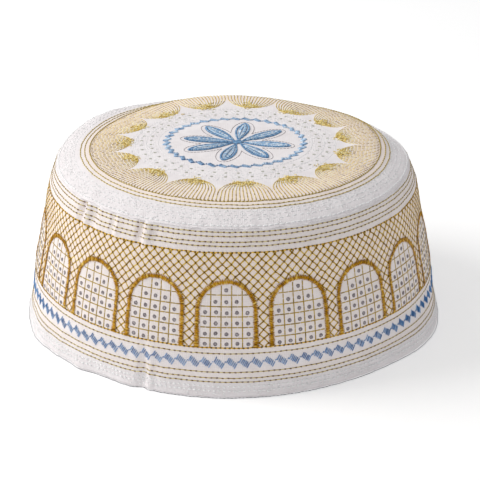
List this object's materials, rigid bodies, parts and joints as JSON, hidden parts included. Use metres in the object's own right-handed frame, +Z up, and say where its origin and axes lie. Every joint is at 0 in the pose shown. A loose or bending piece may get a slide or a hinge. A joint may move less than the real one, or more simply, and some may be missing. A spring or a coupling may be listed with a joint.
{
  "type": "kufi",
  "caption": "Round brimless kufi cap in stiff white cotton: flared side band with gold embroidered arches, shallow domed crown with a blue star.",
  "frame": {"origin": "middle of the hem, on the surface that the cap stands on", "axes": "+Z up through the crown, -Y out of the front of the cap, +X to the viewer's right"},
  "size_m": [0.1886, 0.1886, 0.0794],
  "materials": {
    "white_cotton": "plain woven cotton, starched, matt",
    "gold_thread": "rayon embroidery thread, soft sheen",
    "blue_thread": "rayon embroidery thread, soft sheen"
  },
  "bodies": {
    "root": {"side_band": "white_cotton", "crown_panel": "white_cotton", "arch_01": "gold_thread", "arch_02": "gold_thread", "arch_03": "gold_thread", "arch_04": "gold_thread", "arch_05": "gold_thread", "arch_06": "gold_thread", "arch_07": "gold_thread", "arch_08": "gold_thread", "arch_09": "gold_thread", "arch_10": "gold_thread", "arch_11": "gold_thread", "arch_12": "gold_thread", "arch_13": "gold_thread", "arch_14": "gold_thread", "arch_15": "gold_thread", "arch_16": "gold_thread", "arch_17": "gold_thread", "arch_18": "gold_thread", "star_leaf_1": "blue_thread", "star_leaf_2": "blue_thread", "star_leaf_3": "blue_thread", "star_leaf_4": "blue_thread", "star_leaf_5": "blue_thread", "star_leaf_6": "blue_thread", "star_leaf_7": "blue_thread", "star_leaf_8": "blue_thread", "star_knot": "blue_thread"}
  },
  "joints": []
}
